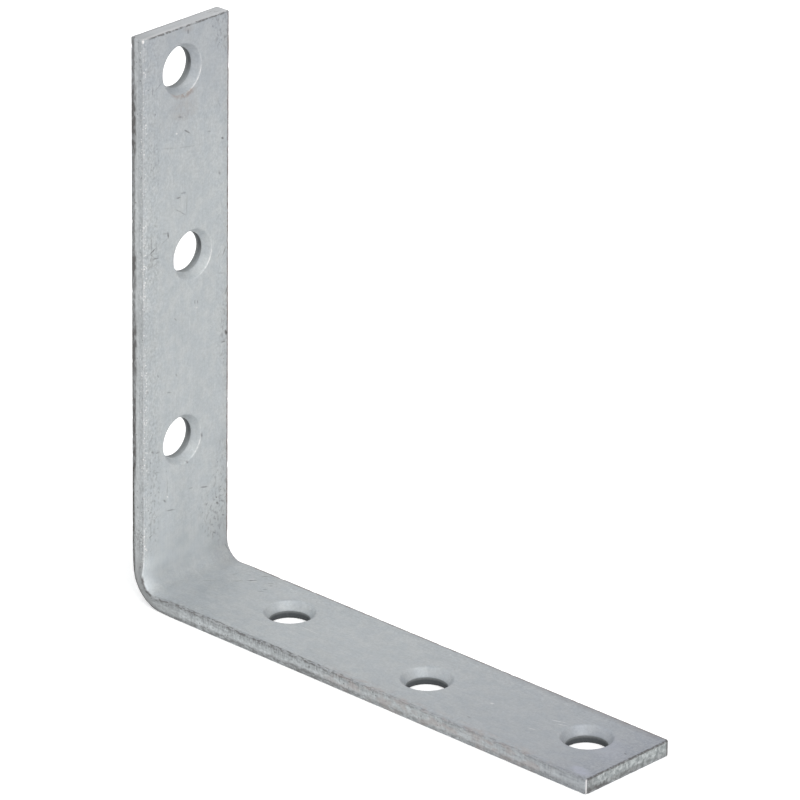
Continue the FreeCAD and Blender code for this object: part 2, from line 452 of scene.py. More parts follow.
def straight_bar(holes):
    """Points and faces of the whole pierced bar before it is folded, its seams not yet joined."""
    places, outward = bar_outline()
    points, faces = [], []
    count = 0

    def add_strip(rows):
        nonlocal count
        size = len(rows[0])
        for row in range(len(rows) - 1):
            for i in range(size):
                near, far = count + row * size, count + (row + 1) * size
                j = (i + 1) % size
                faces.append((near + i, near + j, far + j, far + i))
        points.extend(rows)
        count += len(rows) * size

    def add_face(found, triangles):
        nonlocal count
        points.append(found)
        faces.extend(tuple(int(i) + count for i in triangle) for triangle in triangles)
        count += len(found)

    add_strip(rim_rows(places, outward))
    profiles = [hole_profile(hole[2]) for hole in holes]
    for hole, profile in zip(holes, profiles):
        add_strip([np.column_stack([circle(hole, radius), np.full(HOLE_STEPS, height)])
                   for radius, height in profile])
    inner_ring = places - outward * rim_radii(places)[:, None]
    mouths = [profile[0][0] for profile in profiles]
    coarse = thinned(face_lattice(INNER_FACE_STEP, BEND_RIM_GROWTH, mouths, holes))
    add_face(
        *broad_face(inner_ring, THICKNESS, [coarse, mark_lattice(holes)], BEND_RIM_GROWTH, mouths, holes))
    outer_ring = places - outward * RIM_RADIUS
    backs = [profile[-1][0] for profile in profiles]
    coarse = face_lattice(OUTER_FACE_STEP, 0.0, backs, holes)
    add_face(*broad_face(outer_ring, 0.0, [coarse], 0.0, backs, holes))
    return np.vstack(points), faces


def joined_mesh(name, points, faces):
    """A mesh of the points and faces, its seams joined, its faces outward, no point spare."""
    mesh = bpy.data.meshes.new(name)
    mesh.from_pydata(points.tolist(), [], faces)
    work = bmesh.new()
    work.from_mesh(mesh)
    bmesh.ops.remove_doubles(work, verts=work.verts, dist=MERGE_DISTANCE)
    spare = [vertex for vertex in work.verts if not vertex.link_faces]
    bmesh.ops.delete(work, geom=spare, context="VERTS")
    bmesh.ops.recalc_face_normals(work, faces=work.faces)
    work.to_mesh(mesh)
    work.free()
    mesh.shade_smooth()
    return mesh


def vertex_array(mesh):
    places = np.empty(len(mesh.vertices) * 3)
    mesh.vertices.foreach_get("co", places)
    return places.reshape(-1, 3)


def mark_strength(places, table):
    """The strongest of a table's marks at each place, each wavy, patchy and fading at its border."""
    sway = 0.12 * noise_at(places, 1.8 * MM, 6.4)
    patchy = 1 + 0.5 * noise_at(places, 0.7 * MM, 2.5)
    strongest = np.zeros(len(places))
    for mark in table:
        width, strength = mark[4:6]
        along, beside = in_mark(places, mark)
        half_length = (mark_axes(mark)[1] + width) / 2
        shape = np.hypot(along / half_length, (beside + sway) / (width / 2))
        fade = np.clip((1.25 - shape) / 0.8, 0, 1)
        strongest = np.maximum(strongest, strength * fade * fade * (3 - 2 * fade))
    return strongest * np.clip(patchy, 0.5, 1.4)


def noise_at(places, size, seed):
    """Smooth noise, about -1 to 1, at every place, for forms of a size or of a size each way."""
    scaled = places / size + seed
    return np.array([noise.noise(Vector(place)) for place in scaled])


def relief_depth(straight):
    """How far the surface sinks at each point: waves, dimples, cut walls, nicks, grooves and tears."""
    travel, across, height = straight.T
    to_side = HALF_WIDTH - np.abs(across)
    to_end = np.minimum(travel - FLAT_END, UPRIGHT_END - travel)
    to_wall = np.minimum(to_side, to_end)
    to_face = np.minimum(height, THICKNESS - height)
    depth = WAVE_DEPTH * (1 + noise_at(straight, WAVE_SIZE, 3.1)) / 2
    depth += DIMPLE_DEPTH * (1 + noise_at(straight, DIMPLE_SIZE, 8.7)) / 2
    on_wall = np.clip(1 - to_wall / WALL_BAND, 0, 1)
    depth += CUT_DEPTH * on_wall * (1 + noise_at(straight, CUT_SIZE, 5.3)) / 2
    near_rim = np.exp(-(to_wall ** 2 + to_face ** 2) / NICK_REACH ** 2)
    nicks = np.clip(noise_at(straight, NICK_SIZE, 1.9) - NICK_LEVEL, 0, None)
    depth += NICK_DEPTH * near_rim * nicks
    on_inner_face = height > THICKNESS - SKIN
    depth += GROOVE_DEPTH * mark_strength(straight, DARK_MARKS) * on_inner_face
    on_flat_end = np.clip(1 - (travel - FLAT_END) / WALL_BAND, 0, 1)
    tear_shape = np.array([1 * MM, TEAR_SIZE, 6 * TEAR_SIZE])
    depth += TEAR_DEPTH * on_flat_end * (1 + noise_at(straight, tear_shape, 2.6)) / 2
    return depth


def facing(turn, degrees, power):
    """1 at a turn round a hole, falling to 0 a quarter turn to either side."""
    return np.clip(np.cos(turn - math.radians(degrees)), 0, 1) ** power


def hole_marks(straight, holes):
    """Which points are on a bore's wall and how much painted light they get, where a lip takes a painted
    highlight, and the painted light and shade on a countersink.
    """
    travel, across, height = straight.T
    wall, lit, lip, pale = np.zeros((4, len(straight)))
    for hole in holes:
        hole_travel, hole_across, bore = hole
        rings = hole_profile(bore)
        mouth, crest, foot = rings[0][0], rings[LIP_STEPS // 2][0], rings[LIP_STEPS][0]
        away = from_hole(straight, hole)
        turn = np.arctan2(across - hole_across, travel - hole_travel)
        in_bore = (away < bore + 1.2 * BACK_CHAMFER) & (height < THICKNESS - SINK_DEPTH - SKIN)
        wall[in_bore] = 1
        sunk = np.clip((mouth - away) / SINK_LIP_RADIUS, 0, 1) * (away > bore - SKIN)
        if hole_travel > 0:
            # A painted highlight along the crest of the upright's lips, where they are also rubbed bright
            from_middle = (turn - math.radians(LIP_HIGHLIGHT_TURN)) / math.radians(LIP_HIGHLIGHT_SPREAD)
            on_crest = np.clip(1 - np.abs(away - crest) / (0.35 * (mouth - foot)), 0, 1)
            lip += np.exp(-from_middle ** 2) * on_crest
            # Painted light on the upright's bore walls, most on their lower part, which faces up
            lit[in_bore] = np.clip(0.05 - 1.15 * np.cos(turn[in_bore]), 0, 1)
            # Painted light on the upright's countersinks, brightest at one turn
            pale += sunk * (facing(turn, UPRIGHT_LIGHT_TURN, 2) + 0.1)
        else:
            # Painted light and painted shade on the flat leg's countersinks
            pale += sunk * (1.3 * facing(turn, FLAT_LIGHT_TURN, 3)
                            - 0.4 * facing(turn, FLAT_SHADE_TURN, 3) - 0.25)
    return wall, lit, lip, pale


def add_object(name, data):
    thing = bpy.data.objects.new(name, data)
    bpy.context.scene.collection.objects.link(thing)
    return thing


def keep_floats(mesh, name, values):
    layer = mesh.attributes.new(name, "FLOAT", "POINT")
    layer.data.foreach_set("value", values.astype(np.float32))


def make_body():
    """The brace's body, its relief cut and folded to shape, with its unfolded places kept."""
    holes = read_holes()
    points, faces = straight_bar(holes)
    mesh = joined_mesh("zinc_coated_bar", points, faces)
    straight = vertex_array(mesh)
    outward = np.empty(len(straight) * 3)
    mesh.vertex_normals.foreach_get("vector", outward)
    unfolded = mesh.attributes.new("unfolded", "FLOAT_VECTOR", "POINT")
    unfolded.data.foreach_set("vector", (straight / MM).astype(np.float32).ravel())
    for name, values in zip(["bore_wall", "bore_light", "lip_highlight", "painted_sink_light"],
                            hole_marks(straight, holes)):
        keep_floats(mesh, name, values)
    for name, table in [("dark_mark", DARK_MARKS), ("pale_mark", PALE_MARKS), ("rust", RUST_STAINS),
                        ("violet", VIOLET_STAINS), ("crowd", SPECK_CROWDS)]:
        keep_floats(mesh, name, mark_strength(straight, table))
    sunk = straight - outward.reshape(-1, 3) * relief_depth(straight)[:, None]
    mesh.vertices.foreach_set("co", fold(sunk).ravel())
    mesh.update()
    return add_object("zinc_coated_bar", mesh)


class Nodes:
    """Short ways to add nodes to one tree. A value is a number, a vector, a colour or a socket."""

    def __init__(self, tree):
        self.tree = tree

    def put(self, value, socket):
        if isinstance(value, bpy.types.NodeSocket):
            self.tree.links.new(value, socket)
        else:
            socket.default_value = value

    def add(self, kind, values=(), **settings):
        node = self.tree.nodes.new(kind)
        for name, setting in settings.items():
            setattr(node, name, setting)
        for name, value in dict(values).items():
            self.put(value, node.inputs[name])
        return node

    def operate(self, kind, operation, values):
        node = self.add(kind, operation=operation)
        for value, socket in zip(values, node.inputs):
            self.put(value, socket)
        return node.outputs

    def math(self, operation, *values):
        return self.operate("ShaderNodeMath", operation, values)[0]

    def vector(self, operation, *values):
        gives = "Value" if operation in ("DOT_PRODUCT", "DISTANCE") else "Vector"
        return self.operate("ShaderNodeVectorMath", operation, values)[gives]

    def chain(self, operation, values):
        result = values[0]
        for value in values[1:]:
            result = self.math(operation, result, value)
        return result

    def product(self, *values):
        return self.chain("MULTIPLY", values)

    def total(self, *values):
        return self.chain("ADD", values)

    def highest(self, *values):
        return self.chain("MAXIMUM", values)

    def outside(self, share):
        """What a share leaves of 1."""
        return self.math("SUBTRACT", 1, share)

    def ease(self, value, low, high, to_low=0.0, to_high=1.0):
        """The value carried smoothly from one range to another, and held at its ends."""
        values = {"Value": value, "From Min": low, "From Max": high, "To Min": to_low, "To Max": to_high}
        return self.add("ShaderNodeMapRange", values, interpolation_type="SMOOTHSTEP").outputs["Result"]

    def mix(self, factor, a, b, **settings):
        values = {"Factor": factor, "A": a, "B": b}
        return self.add("ShaderNodeMix", values, **settings).outputs["Result"]

    def blend(self, factor, a, b, blend_type="MIX"):
        """A mix of colours."""
        return self.mix(factor, a, b, data_type="RGBA", blend_type=blend_type)

    def covered(self, colour, cover, *shares):
        """A colour under a cover, which shows by the product of the shares."""
        return self.blend(self.product(*shares), colour, cover)

    def noise(self, place, size, seed, detail=2.0):
        """Cloudy noise, 0 to 1, of a size in millimetres along, across and through the bar."""
        scaled = self.vector("MULTIPLY_ADD", place, tuple(1 / each for each in size), (seed,) * 3)
        values = {"Vector": scaled, "Scale": 1.0, "Detail": detail}
        return self.add("ShaderNodeTexNoise", values).outputs["Fac"]

    def broken(self, place, size, seed, low, high, to_low=0.0, to_high=1.0, detail=2.0):
        """Dashes and dots: noise of a size, with its middle levels spread over a range."""
        return self.ease(self.noise(place, size, seed, detail), low, high, to_low, to_high)

    def tinted(self, colour, noise, amount):
        """A colour made lighter and darker by noise."""
        tone = self.math("MULTIPLY_ADD", self.math("SUBTRACT", noise, 0.5), amount, 1)
        grey = self.add("ShaderNodeCombineColor", {"Red": tone, "Green": tone, "Blue": tone})
        return self.blend(1.0, colour, grey.outputs["Color"], "MULTIPLY")

    def attribute(self, name, output="Fac"):
        return self.add("ShaderNodeAttribute", attribute_name=name).outputs[output]


# Ends, sides and thickness of the straight bar in millimetres, as the coating uses them
FLAT_TIP = FLAT_END / MM
TOP_TIP = UPRIGHT_END / MM
SIDE = HALF_WIDTH / MM
INNER = THICKNESS / MM

# Stretches of the outer front edge with broad grime: start, end, fade and strength
GRIMY_STRETCHES = [(119, 133, 5, 1), (84, 90, 3.5, 1), (61, 71, 5, 1), (-60, -52, 4, 0.75)]

# Colours of the coating, all linear
ZINC_BLUE = (0.415, 0.443, 0.459, 1)
ZINC_PALE = (0.446, 0.468, 0.474, 1)
CUT_GREY = (0.40, 0.425, 0.435, 1)
SHEARED_GREEN = (0.265, 0.288, 0.290, 1)
SHEARED_PALE = (0.430, 0.455, 0.458, 1)
TOP_END_GREY = (0.455, 0.470, 0.486, 1)
# Bare metal, also used for painted highlights
BARE_METAL_AND_HIGHLIGHT = (0.86, 0.84, 0.82, 1)
# Pale of the painted light and the painted highlight round the bend
PAINTED_LIGHT_PALE = (0.80, 0.846, 0.868, 1)
# Dirt, also used for painted shade round the bend, in the turn of the inner front edge and at the flat
# end's far corner
DIRT_AND_SHADE = (0.085, 0.080, 0.078, 1)
SHADE = (0, 0, 0.08, 1)
BLACK = (0, 0, 0, 1)
BORE_DARK = (0.080, 0.087, 0.092, 1)
# Pale of the painted light on the bore walls
BORE_LIT = (0.23, 0.245, 0.25, 1)
BROWN = (0.26, 0.195, 0.16, 1)
PINK_BROWN = (0.365, 0.315, 0.30, 1)
VIOLET = (0.385, 0.40, 0.475, 1)
EDGE_BROWN = (0.125, 0.088, 0.078, 1)

# Surface of the coating: how metallic, its roughness clean and dull, and the height of its grain
METALLIC = 0.30
CLEAN_ROUGHNESS = 0.52
DULL_ROUGHNESS = 0.75
GRAIN_HEIGHT = 0.025 * MM


class Coating(Nodes):
    """Nodes of the coating, with each point's place on the straight bar and shared patterns."""

    def __init__(self, tree):
        super().__init__(tree)
        self.place = self.attribute("unfolded", "Vector")
        parts = self.add("ShaderNodeSeparateXYZ", {"Vector": self.place})
        self.travel, self.across, self.height = parts.outputs
        self.on_face = self.ease(self.height, INNER - 0.35, INNER - 0.1)
        self.on_side = self.product(
            self.ease(self.math("ABSOLUTE", self.across), SIDE - 0.25, SIDE - 0.05),
            self.outside(self.on_face))
        self.on_flat_end = self.ease(self.travel, FLAT_TIP + 0.05, FLAT_TIP + 0.25, 1, 0)
        self.on_top_end = self.ease(self.travel, TOP_TIP - 0.25, TOP_TIP - 0.05)
        self.on_upright = self.ease(self.travel, 2, 8)
        warp = self.add("ShaderNodeTexNoise", {"Vector": self.place, "Scale": 0.9}).outputs["Color"]
        shifted = self.vector("ADD", self.place, (-0.25, -0.25, -0.25))
        self.wavy = self.vector("MULTIPLY_ADD", warp, (0.5, 0.5, 0.5), shifted)
        self.clouds = self.noise(self.place, (3.2, 2.6, 2.6), 9.1, 3)
        self.grain = self.noise(self.place, (0.75, 0.65, 0.65), 1.7)
        self.flecks = self.noise(self.place, (0.8, 0.5, 0.5), 3.3, 3)

    def between(self, start, end, fade, value=None):
        """1 between two bounds, by default of travel, fading to 0 outside them."""
        value = value or self.travel
        return self.product(self.ease(value, start - fade, start), self.ease(value, end, end + fade, 1, 0))

    def distance(self, place, axes, point):
        """How far each place is from a point, along the axes marked 1."""
        return self.vector("DISTANCE", self.vector("MULTIPLY", place, axes), point)

    def near_edge(self, reach, across=-SIDE, height=INNER, place=None):
        """1 on a long edge, by default the inner front one, fading to 0 at a reach from its corner."""
        away = self.distance(place or self.wavy, (0, 1, 1), (0, across, height))
        return self.ease(self.math("DIVIDE", away, reach), 0.4, 1, 1, 0)

    def near_end_edge(self, travel, height, reach):
        """The same for an edge across the bar's end."""
        away = self.distance(self.wavy, (1, 0, 1), (travel, 0, height))
        return self.ease(away, reach * 0.45, reach, 1, 0)

    def specks(self, cell, seed, share, largest=0.30):
        """Small separate spots: a share of the cells of a size each hold one."""
        scaled = self.vector("MULTIPLY_ADD", self.wavy, (1 / cell,) * 3, (seed,) * 3)
        cells = self.add("ShaderNodeTexVoronoi", {"Vector": scaled, "Scale": 1.0})
        parts = self.add("ShaderNodeSeparateColor", {"Color": cells.outputs["Color"]})
        chosen = self.math("LESS_THAN", parts.outputs["Red"], share)
        size = self.mix(parts.outputs["Green"], largest * 0.35, largest)
        away = self.math("DIVIDE", self.math("MULTIPLY", cells.outputs["Distance"], cell), size)
        return self.product(self.ease(away, 0.5, 1.1, 1, 0), chosen)


def speckled_share(coat):
    """How speckled the faces are: along the front, partly the back, and near the ends."""
    travel, across = coat.travel, coat.across
    front = coat.mix(
        coat.ease(travel, 24, 42), coat.ease(across, -SIDE + 1, -SIDE + 4.5, 0.6, 0),
        coat.ease(across, -SIDE + 2.5, -SIDE + 10, 1, 0))
    back = coat.product(coat.ease(across, SIDE - 7, SIDE - 3, 0, 0.5), coat.outside(coat.between(4, 34, 8)))
    flat_end = coat.ease(travel, -148, -138, 0.9, 0)
    below_top_hole = coat.product(coat.between(108, 124, 5), 0.5)
    return coat.highest(front, back, flat_end, below_top_hole)


def mottled_faces(coat):
    """The broad faces: clouded, streaked and grained, smoother where the bar was bent."""
    blotches = coat.noise(coat.place, (13, 9, 9), 4.2, 3)
    fine = coat.noise(coat.place, (0.36, 0.36, 0.36), 5.2, 1)
    streaks = coat.noise(coat.place, (16, 0.55, 0.55), 6.3)
    speckle = coat.broken(coat.place, (0.8, 0.6, 0.6), 2.8, 0.30, 0.70)
    drawn_smooth = coat.between(4, 11, 5)
    colour = coat.blend(coat.ease(coat.clouds, 0.35, 0.65), ZINC_BLUE, ZINC_PALE)
    for pattern, amount in [(blotches, 0.12), (coat.clouds, 0.10), (streaks, 0.12),
                            (coat.grain, coat.mix(drawn_smooth, 0.30, 0.14)),
                            (fine, coat.mix(drawn_smooth, 0.22, 0.10)),
                            (speckle, coat.product(speckled_share(coat), 0.22))]:
        colour = coat.tinted(colour, pattern, amount)
    return colour


def worn_faces_and_painted_light(coat, colour):
    """The faces' tone: duller towards the ends; round the bend, painted shade in its middle and towards its
    back edge, painted light in bands above, beside and below it, and a painted highlight along its front
    edge.
    """
    travel, across = coat.travel, coat.across
    near_front = coat.ease(across, -SIDE - 0.2, -SIDE + 6, 1, 0)
    worn_flat = coat.product(coat.ease(travel, -150, -45, 0.20, 0.045), coat.ease(travel, -4, 10, 1, 0))
    worn_tips = coat.total(coat.ease(travel, 94, 152, 0, 0.155), coat.ease(travel, -150, -128, 0.11, 0))
    colour = coat.covered(colour, SHADE, coat.total(worn_flat, worn_tips))
    # Painted shade: the middle of the bend made darker
    colour = coat.covered(colour, BLACK, coat.between(-2.5, 3, 4), coat.outside(near_front), 0.14)
    # Painted light: bands above, beside and below the bend made paler
    above = coat.product(coat.between(5, 7, 3), coat.ease(across, 2, 9, 1, 0), 0.09)
    beside = coat.product(
        coat.ease(travel, 4, 9), coat.ease(travel, 15, 46, 1, 0), coat.ease(across, -9, 0, 0.15, 0))
    below = coat.product(coat.between(-6.5, -5, 3.5), 0.08)
    colour = coat.covered(colour, PAINTED_LIGHT_PALE, coat.total(above, beside, below))
    # Painted shade on the bend towards its back edge
    colour = coat.covered(colour, DIRT_AND_SHADE, coat.between(-4, 11, 5), coat.ease(across, 5, 12), 0.13)
    # Painted highlight along the bend's front inner edge
    return coat.covered(colour, PAINTED_LIGHT_PALE, coat.between(1.2, 7.5, 4.5), near_front, 0.32)


def cut_sides(coat):
    """The sheared sides: rolled and flecked, darker round the bend, hatched on the flat leg."""
    travel, height = coat.travel, coat.height
    through = coat.noise(coat.place, (0.32, 0.32, 3.5), 7.7)
    rolled = coat.noise(coat.place, (6, 0.45, 0.45), 2.9)
    on_flat = coat.ease(travel, -6, -2, 1, 0)
    fleck_amount = coat.product(coat.mix(on_flat, 0.75, 1.05), coat.ease(travel, -145, -100, 0.6, 1))
    cut = CUT_GREY
    for pattern, amount in [(coat.flecks, fleck_amount), (coat.clouds, 0.45), (rolled, 0.5),
                            (through, coat.mix(on_flat, 0.15, 0.5))]:
        cut = coat.tinted(cut, pattern, amount)
    # Darker round the bend, most towards the outer face
    cut = coat.covered(cut, DIRT_AND_SHADE, coat.between(-10, 8, 5), 0.24)
    cut = coat.covered(cut, DIRT_AND_SHADE, coat.between(-1.5, 6.5, 3), 0.16)
    cut = coat.covered(cut, DIRT_AND_SHADE, coat.between(-4.5, 3.5, 2), coat.ease(height, 1.2, 2.4, 0.24, 0))
    worn = coat.total(coat.ease(travel, 98, 138, 0, 0.09), coat.ease(travel, -150, -88, 0.15, 0))
    cut = coat.covered(cut, SHADE, worn)
    mottles = coat.broken(coat.place, (0.7, 0.5, 0.5), 6.1, 0.44, 0.58)
    cut = coat.covered(cut, DIRT_AND_SHADE, coat.between(12.5, 16, 1.5), mottles, 0.45)
    cut = coat.covered(
        cut, BARE_METAL_AND_HIGHLIGHT, coat.between(1.4, 2.3, 0.5, height), coat.mix(coat.on_upright, 0.05, 0.11))
    cut = coat.covered(cut, DIRT_AND_SHADE, coat.between(2.9, 3.9, 0.4, height), 0.04)
    hatch = coat.broken(coat.wavy, (0.42, 0.42, 2.6), 3.7, 0.46, 0.60)
    return coat.covered(cut, DIRT_AND_SHADE, hatch, coat.ease(height, 1.9, 3.6), coat.between(-72, -22, 14), 0.42)


def top_end(coat):
    """The upright's cut end: brushed, dirtier on the left and bright along its front."""
    brushed = coat.noise(coat.place, (1, 9, 0.4), 5.1)
    colour = coat.tinted(coat.tinted(TOP_END_GREY, brushed, 0.35), coat.flecks, 0.22)
    colour = coat.covered(colour, DIRT_AND_SHADE, coat.ease(coat.across, -15, -7, 0.22, 0.03))
    colour = coat.covered(colour, BARE_METAL_AND_HIGHLIGHT, coat.ease(coat.across, 2, 12, 0, 0.07))
    return coat.covered(
        colour, BARE_METAL_AND_HIGHLIGHT, coat.ease(coat.height, 3.0, 3.9), coat.ease(coat.across, -2, 3, 1, 0.4), 0.20)


def flat_end(coat):
    """The flat leg's cut end: torn, in green and pale patches, dirtier at its near corner."""
    patches = coat.broken(coat.wavy, (1, 1.3, 1.0), 8.4, 0.38, 0.62, detail=3)
    torn = coat.noise(coat.wavy, (1, 0.45, 2.2), 1.2, 3)
    colour = coat.blend(patches, SHEARED_GREEN, SHEARED_PALE)
    colour = coat.tinted(coat.tinted(colour, torn, 0.7), coat.flecks, 0.9)
    return coat.covered(
        colour, DIRT_AND_SHADE, coat.ease(coat.across, -14.8, -9.5, 0.64, 0), coat.ease(torn, 0.35, 0.6, 0.5, 1))


def sink_shading_and_stains(coat, colour):
    """Painted light and shade in the countersinks, then rust, a violet stain and a pink band."""
    # Painted light and shade in the countersinks
    colour = coat.tinted(colour, coat.total(coat.attribute("painted_sink_light"), 0.5), 0.15)
    flakes = coat.broken(coat.place, (0.7, 0.6, 0.6), 4.4, 0.28, 0.56)
    colour = coat.covered(colour, BROWN, coat.attribute("rust"), flakes, coat.on_face)
    colour = coat.covered(colour, VIOLET, coat.attribute("violet"), coat.on_face)
    front_band = coat.ease(coat.across, -SIDE + 1.0, -SIDE + 3.2, 1, 0)
    patches = coat.broken(coat.place, (3.5, 1.6, 1.6), 2.2, 0.42, 0.66)
    return coat.covered(colour, PINK_BROWN, front_band, patches, coat.between(-131, -70, 12), 0.45)


def dark_specks(coat):
    """Small dark specks, thicker in a few places, and the marks."""
    few = coat.product(coat.specks(2.3, 1.5, 0.05), 0.4)
    clumps = coat.broken(coat.place, (3.0, 1.4, 1.4), 7.9, 0.40, 0.62)
    smears = coat.broken(coat.wavy, (1.3, 0.8, 0.8), 5.7, 0.50, 0.66)
    crowded = coat.highest(coat.product(coat.specks(0.80, 7.5, 0.50), clumps), coat.product(smears, 0.5))
    crowded = coat.product(crowded, coat.attribute("crowd"), 0.8)
    on_sides = coat.product(coat.specks(0.9, 3.5, 0.16), coat.on_side, 0.6)
    marks = coat.product(coat.attribute("dark_mark"), coat.on_face, 0.85)
    return coat.highest(few, crowded, on_sides, marks)


def inner_front_line(coat):
    """Dirt along the inner front edge, dashed on the flat leg, and painted shade along it in the turn."""
    travel = coat.travel
    dashes = coat.broken(coat.wavy, (1.5, 0.5, 0.5), 6.6, 0.46, 0.60, detail=4)
    strength = coat.mix(
        dashes, coat.ease(travel, -68, -50, 0.12, 0.34), coat.ease(travel, -90, -52, 0.46, 0.98))
    on_leg = coat.product(coat.near_edge(1.05), strength, 0.75, coat.ease(travel, -4.5, -2.5, 1, 0))
    # Painted shade: a solid dark line along the rim where it rolls round the turn
    turning = coat.between(-2.2, 3.4, 1.8)
    shade_at_turn = coat.product(
        coat.near_edge(coat.mix(turning, 0.54, 0.80)), coat.between(-14, 3.2, 2),
        coat.mix(turning, 0.34, 0.92))
    return coat.highest(on_leg, shade_at_turn)


def outer_front_line(coat):
    """Dirt along the outer front edge: long dashes, and broad grime in some stretches."""
    travel = coat.travel
    narrow = coat.mix(
        coat.between(-10, 27, 9), coat.near_edge(coat.ease(travel, 68, 82, 0.9, 0.75), height=0.85),
        coat.near_edge(0.95, height=0.25))
    grime = coat.noise(coat.wavy, (1.6, 0.6, 0.6), 3.9, 4)
    dashes = coat.mix(
        coat.on_upright, coat.ease(grime, 0.36, 0.58, 0.18, 0.60), coat.ease(grime, 0.36, 0.58, 0.33, 0.70))
    dashes = coat.total(
        coat.product(dashes, coat.ease(travel, -96, -60, 0.62, 1)),
        coat.product(coat.between(2, 52, 5), 0.24), coat.product(coat.between(17, 33, 3), 0.14))
    stretches = coat.highest(*[coat.product(coat.between(start, end, fade), strength)
                               for start, end, fade, strength in GRIMY_STRETCHES])
    patches = coat.broken(coat.place, (2.0, 0.8, 0.8), 4.1, 0.34, 0.56, 0.25, 0.88)
    return coat.highest(
        coat.product(narrow, dashes), coat.product(coat.near_edge(1.3, height=0.85), stretches, patches))


def back_lines(coat):
    """Brown dirt along both back edges, and a band of it on the inner face beside them."""
    edges = coat.highest(coat.near_edge(1.0, SIDE), coat.near_edge(0.95, SIDE, 0))
    dashes = coat.broken(coat.place, (2.2, 1, 1), 5.9, 0.36, 0.60, 0.50, 0.90)
    band_dashes = coat.broken(coat.place, (2.6, 1.2, 1.2), 6.9, 0.3, 0.6, 0.55, 1.2)
    band = coat.product(
        coat.ease(coat.across, SIDE - 3.2, SIDE - 0.6), coat.on_face,
        coat.ease(coat.travel, -135, -75, 0.26, 0.04), coat.ease(coat.travel, -8, 30, 1, 1.6), band_dashes)
    return coat.highest(coat.product(edges, dashes), band)


def end_lines(coat):
    """Dirt along the edges of both cut ends, and painted shade round the far corner of the flat one."""
    across, wavy = coat.across, coat.wavy
    top_front = coat.product(
        coat.near_end_edge(TOP_TIP - 0.2, INNER, 0.42),
        coat.broken(wavy, (1, 1.1, 1), 2.4, 0.38, 0.56, 0.25, 1, 4), coat.ease(across, -14, -11), 0.75)
    top_back = coat.product(coat.near_end_edge(TOP_TIP, 0, 1.1), coat.ease(across, -2, 6, 0.34, 0.2))
    upper = coat.product(
        coat.near_end_edge(FLAT_TIP, INNER, 0.66), 0.84,
        coat.broken(wavy, (1, 0.8, 0.8), 9.4, 0.34, 0.52, 0.4, 1, 4))
    foot = coat.product(
        coat.near_end_edge(FLAT_TIP, 1.0, 1.0), coat.ease(across, -10, -3, 0.72, 0.5),
        coat.ease(across, 2, 9, 1, 0.6), coat.broken(wavy, (1, 1.2, 1), 6.8, 0.3, 0.6, 0.4, 1.1, 3))
    # Painted shade round the flat end's rounded far corner
    from_shaded_corner = coat.distance(wavy, (1, 1, 0), (FLAT_TIP, SIDE, 0))
    corner = coat.ease(from_shaded_corner, 0.8, 1.4, 0.85, 0)
    return coat.highest(top_front, top_back, upper, foot, corner)


def front_pits(coat):
    """Dirty pits beside the upright's front edge."""
    return coat.product(
        coat.near_edge(0.9), coat.on_upright, 0.16,
        coat.broken(coat.place, (0.7, 0.5, 0.5), 4.6, 0.42, 0.6))


def bare_metal_and_highlights(coat):
    """Bare metal and painted highlights: dots and a painted glint along the upright's front edge, lumps,
    lips rubbed bright under a painted highlight, painted highlights on two corners, and the pale marks.
    """
    place = coat.place
    shining = coat.broken(place, (10, 5, 5), 4.9, 0.38, 0.58, 0.20, 0.78)
    # Painted highlight: a glint along the upright's front rim
    glint = coat.product(coat.near_edge(0.55), 0.22, coat.noise(place, (1.2, 0.6, 0.6), 8.8))
    powder = coat.product(coat.broken(place, (0.5, 0.4, 0.4), 9.9, 0.48, 0.62), 0.22)
    dots = coat.product(
        coat.near_edge(2.0, place=place), coat.highest(coat.specks(0.70, 8.8, 0.62, 0.32), powder))
    edge = coat.product(coat.highest(glint, dots), shining, coat.on_upright)
    lumps = coat.product(
        coat.specks(0.75, 5.5, 0.42), coat.ease(coat.across, -SIDE + 0.8, -SIDE + 2.2, 1, 0), coat.on_face,
        coat.between(28, 96, 10), 0.6)
    # Painted highlight on the upright's lips, which are also rubbed bright
    lips = coat.product(
        coat.attribute("lip_highlight"), coat.broken(place, (1.1, 1.1, 1.1), 3.8, 0.36, 0.6, 0.10, 0.70))
    # Painted highlight on the upright's near top corner
    from_top = coat.vector("DISTANCE", coat.wavy, (TOP_TIP - 0.5, -SIDE + 0.1, INNER))
    top_corner_highlight = coat.ease(from_top, 0.3, 0.65, 0.8, 0)
    # Painted highlight down the flat end's near vertical corner
    from_foot = coat.distance(place, (1, 1, 0), (FLAT_TIP, -SIDE, 0))
    foot_corner_highlight = coat.ease(from_foot, 0.42, 0.52, 0.65, 0)
    marks = coat.product(coat.attribute("pale_mark"), coat.on_face)
    return coat.highest(edge, lumps, lips, top_corner_highlight, foot_corner_highlight, marks)


def bore_share(coat):
    """Where a bore's dark wall shows, less so where painted light falls on the upright's walls that look
    up.
    """
    # Painted light: where the upright's bore walls face up, the face's colour shows instead
    coated = coat.product(coat.attribute("bore_light"), coat.ease(coat.height, 0.6, 2.1), 0.5)
    return coat.product(coat.ease(coat.attribute("bore_wall"), 0.2, 0.9), coat.outside(coated))


def bore_wall(coat):
    """The bores' dark walls, with painted light at the shoulder, and on the upright at the back and below.
    """
    # Lit and shaded copies of the wall, by the painted light on it
    bore = coat.blend(coat.attribute("bore_light"), BORE_DARK, BORE_LIT)
    at_back = coat.product(coat.ease(coat.height, 0.1, 1.3, 1, 0), coat.on_upright)
    at_shoulder = coat.product(coat.ease(coat.height, 1.1, 2.05), coat.mix(coat.on_upright, 1, 0.2))
    bore = coat.covered(bore, BORE_LIT, coat.highest(at_back, at_shoulder))
    return coat.tinted(bore, coat.flecks, 0.6)


